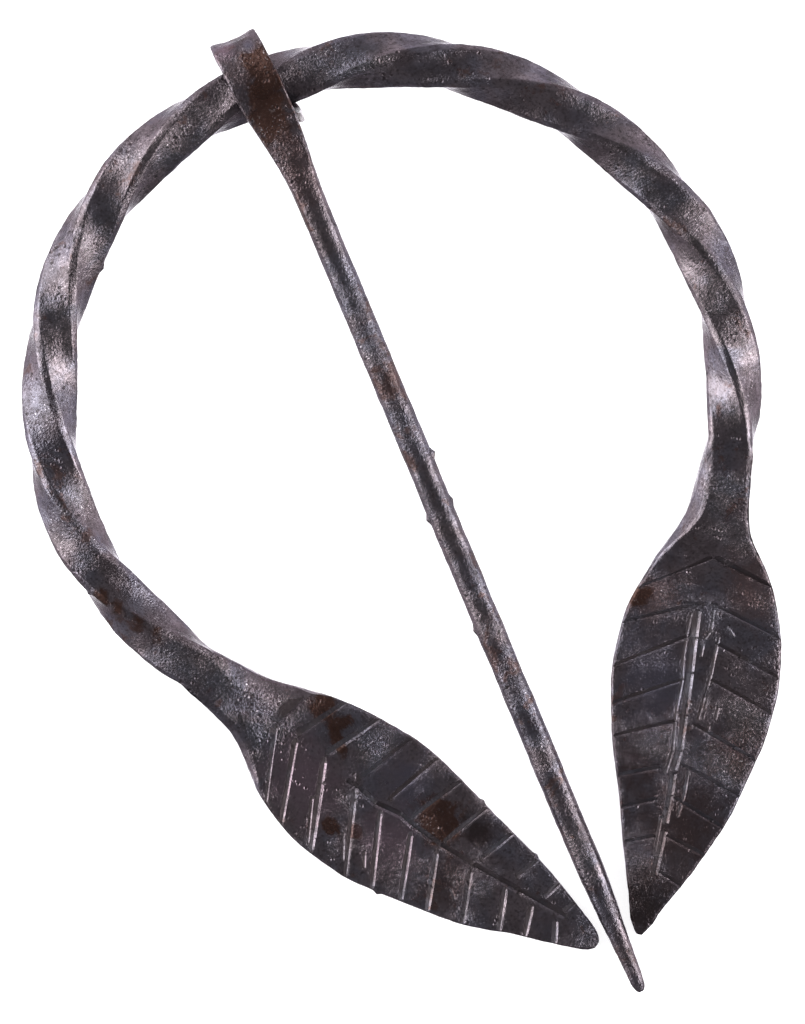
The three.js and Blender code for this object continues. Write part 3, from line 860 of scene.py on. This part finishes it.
def strike(blade, strokes):
    # one object with a copy of the blade for each stroke
    copies = []
    # each stroke is turned so that its painted-shade wall faces away from this side
    lit = Vector((*chisel["steepWall"], 0))
    for start, end, width, depth in strokes:
        run = end - start
        if Vector((-run.y, run.x, 0)).dot(lit) > 0:
            start, end = end, start
        copy = blade.copy()
        copy.data = blade.data.copy()
        bpy.context.scene.collection.objects.link(copy)
        run = end - start
        copy.location = (start + end) / 2
        copy.rotation_euler = (0, -atan2(run.z, run.xy.length), atan2(run.y, run.x))
        copy.scale = (run.length, width, depth)
        copies.append(copy)
    deselectAll()
    for copy in copies:
        copy.select_set(True)
    bpy.context.view_layer.objects.active = copies[0]
    bpy.ops.object.join()
    applyPlace()
    return copies[0]


def cutVeins(piece):
    blade = makeChisel()
    for strokes in leafStrokes(rightLeaf) + leafStrokes(leftLeaf):
        cutter = strike(blade, strokes)
        # the cut faces take the blade's materials, the painted shade among them
        finishModifier(piece, "BOOLEAN", "veins", operation="DIFFERENCE", object=cutter,
                       solver="MANIFOLD", material_mode="TRANSFER")
        bpy.data.objects.remove(cutter)
    bpy.data.objects.remove(blade)
    print("veins cut:", len(piece.data.polygons), "faces")


cutVeins(forgedRing)


# The pin: a strap curled round the bar, drawn down to a round shank with a point.

pinForging = {
    "loopMiddle": (38.15, 5.0),       # Y and Z
    "loopHalf": (5.3, 4.35),          # half length and half height of the strap's own middle line
    "loopSteps": 30,
    "loopTurn": 294,                  # degrees that the strap runs round the bar
    # degrees from the loop's top, width, sideways place
    "strap": [(0, 5.5, -0.3), (45, 5.5, -0.6), (90, 5.25, -0.75), (180, 5.4, -0.15), (215, 5.35, 0.1),
              (240, 5.6, 0.5), (262, 5.5, 0.6), (274, 5.0, 0.6), (284, 4.2, 0.6), (294, 2.6, 0.5)],
    # distance from the loop's middle, width, thickness, roundness, sideways place
    "shank": [(0, 5.5, 1.3, 0, -0.3), (3.7, 5.25, 1.4, 0, -0.05), (6, 4.9, 1.65, 0.1, 0.15),
              (9, 4.3, 2.2, 0.3, 0.35), (12, 3.7, 2.8, 0.6, 0.4), (15, 3.3, 3.15, 0.8, 0.4),
              (20, 3.2, 3.2, 0.9, 0.4), (94, 3.1, 3.1, 0.9, 0.4), (98, 2.75, 2.75, 0.95, 0.4),
              (102, 2.2, 2.2, 1, 0.4), (106, 1.75, 1.7, 1, 0.4), (108.4, 1.45, 1.4, 1, 0.4),
              (109, 1.1, 1.1, 1, 0.4), (109.35, 0.5, 0.5, 1, 0.4)],
    # distances at which the shank is drawn down: close at the neck and the point, even between
    "stations": [2.4, 3.7, 5, 6.3, 7.6, 9, 10.4, 11.8, 13.2, 14.6, 16.2, 18, 20]
                + [20 + 2.8 * k for k in range(1, 27)]
                + [95.5, 97, 98.5, 100, 101.5, 103, 104.5, 106, 107.2, 108.1, 108.7, 109.1, 109.35],
    "tipY": -71.2,
    "tipHeight": 0.75,
    "cellsAcross": 6,
    "cellsThick": 3,
    "edgeCrease": 0.22,
    "rounding": (0.072, 0.11),        # what a round section loses in width and thickness
    # share of the strap's width, and how far it is sunk there
    "dish": [(0.42, 0.12), (0.25, 0.16)],
}


def strapAt(angle):
    # width and sideways place of the strap
    return smoothAt(pinForging["strap"], angle, 1), smoothAt(pinForging["strap"], angle, 2)


def shankAt(distance):
    # width, thickness, roundness and sideways place of the shank
    return [smoothAt(pinForging["shank"], distance, column) for column in (1, 2, 3, 4)]


def makePin():
    middleY, middleZ = pinForging["loopMiddle"]
    halfLength, halfHeight = pinForging["loopHalf"]
    topZ = middleZ + halfHeight
    _, width, thickness, _, lean = pinForging["shank"][0]
    # a short length of strap on top of the loop
    piece = startBlock("forgedPin", 1, (lean, middleY - 0.5, topZ), pinIron)
    stretch(width, 1, thickness, (lean, middleY, topZ))
    pick("EDGE", runsAlong(0))
    bpy.ops.mesh.subdivide(number_cuts=pinForging["cellsAcross"] - 1)
    pick("EDGE", runsAlong(2))
    bpy.ops.mesh.subdivide(number_cuts=pinForging["cellsThick"] - 1)
    objectMode()
    keepCorners(piece, lambda co: abs(abs(co.x - lean) - width / 2) < near
                and abs(abs(co.z - topZ) - thickness / 2) < near)
    # curled round the bar
    editMode("FACE")
    pick("FACE", lambda face: face.calc_center_median().y > middleY - near)
    steps = pinForging["loopSteps"]
    turn = pinForging["loopTurn"]
    bpy.ops.mesh.spin(steps=steps, angle=radians(turn), center=(0, middleY, middleZ), axis=(1, 0, 0))
    squash = halfHeight / halfLength
    for k in range(1, steps + 1):
        angle = k * turn / steps
        sideY, sideZ = sin(radians(angle)), cos(radians(angle))
        centre = (lean, middleY + halfHeight * sideY, middleZ + halfHeight * sideZ)

        def onStation(co):
            outY, outZ = co.y - middleY, co.z - middleZ
            return abs(outY * sideZ - outZ * sideY) < 0.05 and outY * sideY + outZ * sideZ > 0
        pickVerts(onStation)
        strapWidth, middleX = strapAt(angle)
        stretch(strapWidth / width, squash, 1, centre)
        shift(middleX - lean, 0, 0)
        # the strap is dished along its middle
        for share, depth in pinForging["dish"]:
            reach = share * strapWidth
            pickVerts(lambda co: onStation(co) and abs(co.x - middleX) < reach
                      and hypot(co.y - middleY, co.z - middleZ) > halfHeight + 0.4)
            sunk = -depth * eased(-10, 60, angle)
            shift(0, sunk * sideY, sunk * sideZ)
    pickVerts(lambda co: co.y > middleY + near or co.z < topZ - 1)
    stretch(1, 1 / squash, 1, (0, middleY, middleZ))
    # drawn down to the shank and its point
    run = middleY - pinForging["tipY"]
    pick("FACE", lambda face: face.calc_center_median().y < middleY - 0.99 and face.normal.y < -0.9
         and face.calc_center_median().z > topZ - 1)
    y, z, x = middleY - 1, topZ, lean
    sections = []
    for distance in pinForging["stations"]:
        nextWidth, nextThickness, roundness, nextX = shankAt(distance)
        nextY = middleY - distance
        nextZ = topZ + (pinForging["tipHeight"] - topZ) * distance / run
        drawOut(nextX - x, nextY - y, nextZ - z)
        stretch(nextWidth / width, 1, nextThickness / thickness, (nextX, nextY, nextZ))
        x, y, z, width, thickness = nextX, nextY, nextZ, nextWidth, nextThickness
        sections.append((y, roundness))
    slimmer, thinner = pinForging["rounding"]
    for y, roundness in sections[:-1]:
        if roundness > 0.05:
            pickVerts(lambda co: abs(co.y - y) < near and co.z < topZ + 1)
            bpy.ops.transform.tosphere(value=roundness)
            bpy.ops.transform.resize(value=(1 - slimmer * roundness, 1, 1 - thinner * roundness))
    objectMode()
    creases = piece.data.attributes.new("crease_edge", "FLOAT", "EDGE")
    for edge, first, second in cornerEdges(piece):
        distance = middleY - (first.y + second.y) / 2
        creases.data[edge.index].value = pinForging["edgeCrease"] * (1 - eased(4, 16, distance))
    finishModifier(piece, "SUBSURF", "smooth", levels=3, render_levels=3)
    print("pin drawn out:", len(piece.data.vertices), "points")
    return piece


forgedPin = makePin()


# The hammered and scaled surface, worked into the metal itself.

hammered = {
    "faceSize": 4.5,          # millimetres across one hammer mark
    "faceDepth": 0.09,
    "lumpSize": 1.3,
    "lumpDepth": 0.05,
    "scaleSize": 0.45,
    "scaleDepth": 0.035,
    "pinSizes": 0.93,         # the marks on the pin, against those on the ring
    "pinDepths": 0.8,
    # place, reach and height of the small burrs that stand up from each piece
    "ringBurrs": [((-22.5, -49.8, 1.2), 0.5, 0.28), ((-7.9, -45.2, 1.2), 0.4, 0.22),
                  ((-5.1, -53.0, 1.2), 0.4, 0.2), ((-23.6, 26.0, 4.5), 0.4, 0.25),
                  ((-38.4, -6.6, 4.5), 0.35, 0.2)],
    "pinBurrs": [((2.1, -7.2, 6.1), 0.5, 0.4), ((1.8, -12.8, 5.6), 0.4, 0.25),
                 ((-1.2, -13.8, 5.5), 0.5, 0.3), ((-1.2, -26.9, 4.5), 0.4, 0.25)],
}


def hammer(piece, sizes=1.0, depths=1.0):
    for name in ("face", "lump", "scale"):
        depth = hammered[name + "Depth"] * depths
        texture = bpy.data.textures.new(name + "Marks", "CLOUDS")
        texture.noise_scale = hammered[name + "Size"] * sizes
        texture.noise_depth = 1
        finishModifier(piece, "DISPLACE", name, texture=texture, texture_coords="LOCAL",
                       direction="NORMAL", mid_level=0.5, strength=depth * 2)
        bpy.data.textures.remove(texture)


def raiseBurrs(piece, burrs):
    takeUp(piece)
    editMode()
    for place, reach, height in burrs:
        points = bmesh.from_edit_mesh(piece.data).verts
        foot = min(points, key=lambda vert: (vert.co - Vector(place)).length).co.copy()
        for share in (1.0, 0.5):
            pickVerts(lambda co: (co - foot).length < reach * share)
            bpy.ops.transform.shrink_fatten(value=height / 2)
            foot = foot + (Vector(place) - foot).normalized() * height / 4
    objectMode()


hammer(forgedRing)
hammer(forgedPin, hammered["pinSizes"], hammered["pinDepths"])
raiseBurrs(forgedRing, hammered["ringBurrs"])
raiseBurrs(forgedPin, hammered["pinBurrs"])
print("surfaces hammered")


# The finished iron is carried to its place.

def carryToPlace(piece):
    takeUp(piece)
    piece.vertex_groups.clear()
    bpy.ops.object.shade_smooth_by_angle(angle=radians(32))
    piece.data.transform(Matrix.Translation(ringMiddle))
    piece.data.transform(Matrix.Scale(0.001, 4))


carryToPlace(forgedRing)
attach(forgedRing, "ring")
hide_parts("ring")

carryToPlace(forgedPin)
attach(forgedPin, "pin")
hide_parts("pin")


# The studio: a plain pale floor, soft walls of light to both sides, and the camera overhead.

studio = {
    "middle": (-0.00382, 0.00175, 0.0),
    "roll": -22.68,           # degrees that the camera is turned
    "cameraHeight": 1.5,
    "frameHeight": 0.1138,
    "sensorHeight": 24,
    "floorSize": 6.0,
    "floorDrop": 0.00012,     # keeps the floor clear of the leaves' backs
    "floorTone": (0.45, 0.45, 0.45, 1),
    "floorRoughness": 0.9,
    "floorGlow": 0.85,
    "lightDistance": 0.7,
    # name, degrees round from the camera's right, degrees up, width and height, power
    "lights": [("rightWall", -4, 27, (0.56, 0.30), 12.0), ("leftWall", 168, 20, (0.90, 0.52), 22.0)],
    "skyTone": (0.99, 0.955, 1.02, 1),
    "skyOverhead": 0.40,
    "skyHorizon": 1.0,
    "skyLeft": 2.0,           # added towards the left wall
    "skyRight": 1.0,          # added towards the right wall
    "skyBelow": 2.8,          # added below the table's level
    "skyNear": 0.2,           # what is left of the light from the near side
}


def makeFloor():
    deselectAll()
    bpy.ops.mesh.primitive_plane_add(size=studio["floorSize"], location=(0, 0, -studio["floorDrop"]))
    floor = bpy.context.object
    floor.name = "floor"
    material = bpy.data.materials.new("paleFloor")
    material.use_nodes = True
    shader = material.node_tree.nodes["Principled BSDF"]
    setInputs(shader, {"Base Color": studio["floorTone"], "Roughness": studio["floorRoughness"],
                       "Emission Color": (1, 1, 1, 1), "Emission Strength": studio["floorGlow"]})
    floor.data.materials.append(material)
    floor.visible_glossy = False


def makeSky():
    # soft light all round: bright to the left and right and below the table, dim elsewhere
    world = bpy.data.worlds.new("studioAir")
    bpy.context.scene.world = world
    world.use_nodes = True
    tree = world.node_tree
    air = tree.nodes["Background"]
    turned = addNode(tree, "Mapping", vector_type="POINT")
    turned.inputs["Rotation"].default_value = (0, 0, radians(-studio["roll"]))
    joinUp(tree, addNode(tree, "TexCoord"), "Generated", turned, "Vector")
    split = addNode(tree, "SeparateXYZ")
    joinUp(tree, turned, "Vector", split, "Vector")
    low = addRange(tree, split.outputs["Z"], 0.95, 0.45)
    left = addRange(tree, split.outputs["X"], -0.9, -0.35, studio["skyLeft"], 0.0)
    right = addRange(tree, split.outputs["X"], 0.35, 0.9, 0.0, studio["skyRight"])
    walls = times(tree, addMath(tree, "ADD", left, right),
                    addRange(tree, split.outputs["Z"], 0.5, 0.05))
    nearSide = addRange(tree, split.outputs["Y"], -0.65, 0.1, studio["skyNear"], 1.0)
    below = addRange(tree, split.outputs["Z"], -0.3, 0.0, studio["skyBelow"], 0.0)
    level = addMath(tree, "ADD", below, studio["skyHorizon"])
    around = times(tree, addMath(tree, "ADD", walls, level), nearSide)
    shade = addMath(tree, "ADD", times(tree, low, around), studio["skyOverhead"])
    rays = addNode(tree, "LightPath")
    seen = addMath(tree, "MAXIMUM", shade, rays.outputs["Is Camera Ray"])
    tree.links.new(seen, air.inputs["Strength"])
    air.inputs["Color"].default_value = studio["skyTone"]


def addLight(name, turn, up, size, power):
    deselectAll()
    middle = Vector(studio["middle"])
    angle, elevation = radians(studio["roll"] + turn), radians(up)
    way = Vector((cos(angle) * cos(elevation), sin(angle) * cos(elevation), sin(elevation)))
    bpy.ops.object.light_add(type="AREA", location=middle + way * studio["lightDistance"])
    light = bpy.context.object
    light.name = name
    light.data.shape = "RECTANGLE"
    light.data.size, light.data.size_y = size
    light.data.energy = power
    light.rotation_euler = (-way).to_track_quat("-Z", "Y").to_euler()
    light.visible_camera = False


def makeCamera():
    middle = Vector(studio["middle"])
    bpy.ops.object.camera_add(location=middle + Vector((0, 0, studio["cameraHeight"])),
                              rotation=(0, 0, radians(studio["roll"])))
    camera = bpy.context.object
    camera.data.sensor_fit = "VERTICAL"
    camera.data.sensor_height = studio["sensorHeight"]
    camera.data.lens = studio["sensorHeight"] * studio["cameraHeight"] / studio["frameHeight"]
    camera.data.clip_end = 20
    bpy.context.scene.camera = camera


makeFloor()
makeSky()
for light in studio["lights"]:
    addLight(*light)
makeCamera()
bpy.context.scene.view_settings.view_transform = "Standard"
print("studio set")
